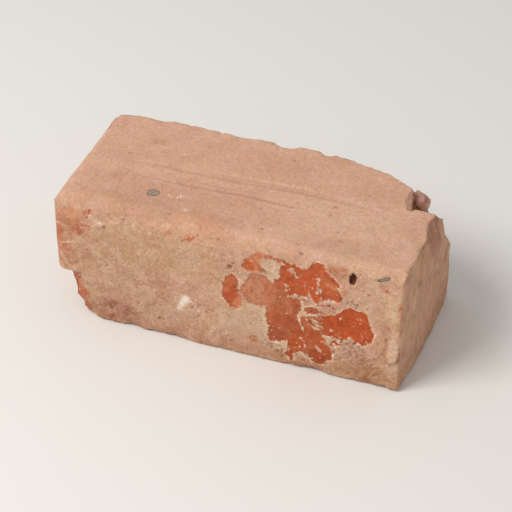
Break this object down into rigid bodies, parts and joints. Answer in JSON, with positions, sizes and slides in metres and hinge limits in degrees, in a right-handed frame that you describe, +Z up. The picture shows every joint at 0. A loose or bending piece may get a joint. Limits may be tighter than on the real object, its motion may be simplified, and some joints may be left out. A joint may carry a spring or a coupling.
{
  "type": "clay brick",
  "caption": "Reclaimed hand-moulded clay brick, worn at its arrises, with a spalled back corner, a broken foot and remains of lime mortar.",
  "frame": {"origin": "middle of the underside, at the bottom centre of the brick's box", "axes": "+X along the length towards the end with the spalled corner, +Y across the width towards the back, +Z up"},
  "size_m": [0.23, 0.1039, 0.09],
  "materials": {
    "fired_clay": "matt fired clay, pinkish buff with orange-red patches where the skin of lime mortar is gone"
  },
  "bodies": {
    "root": {"clay_brick": "fired_clay"}
  },
  "joints": []
}
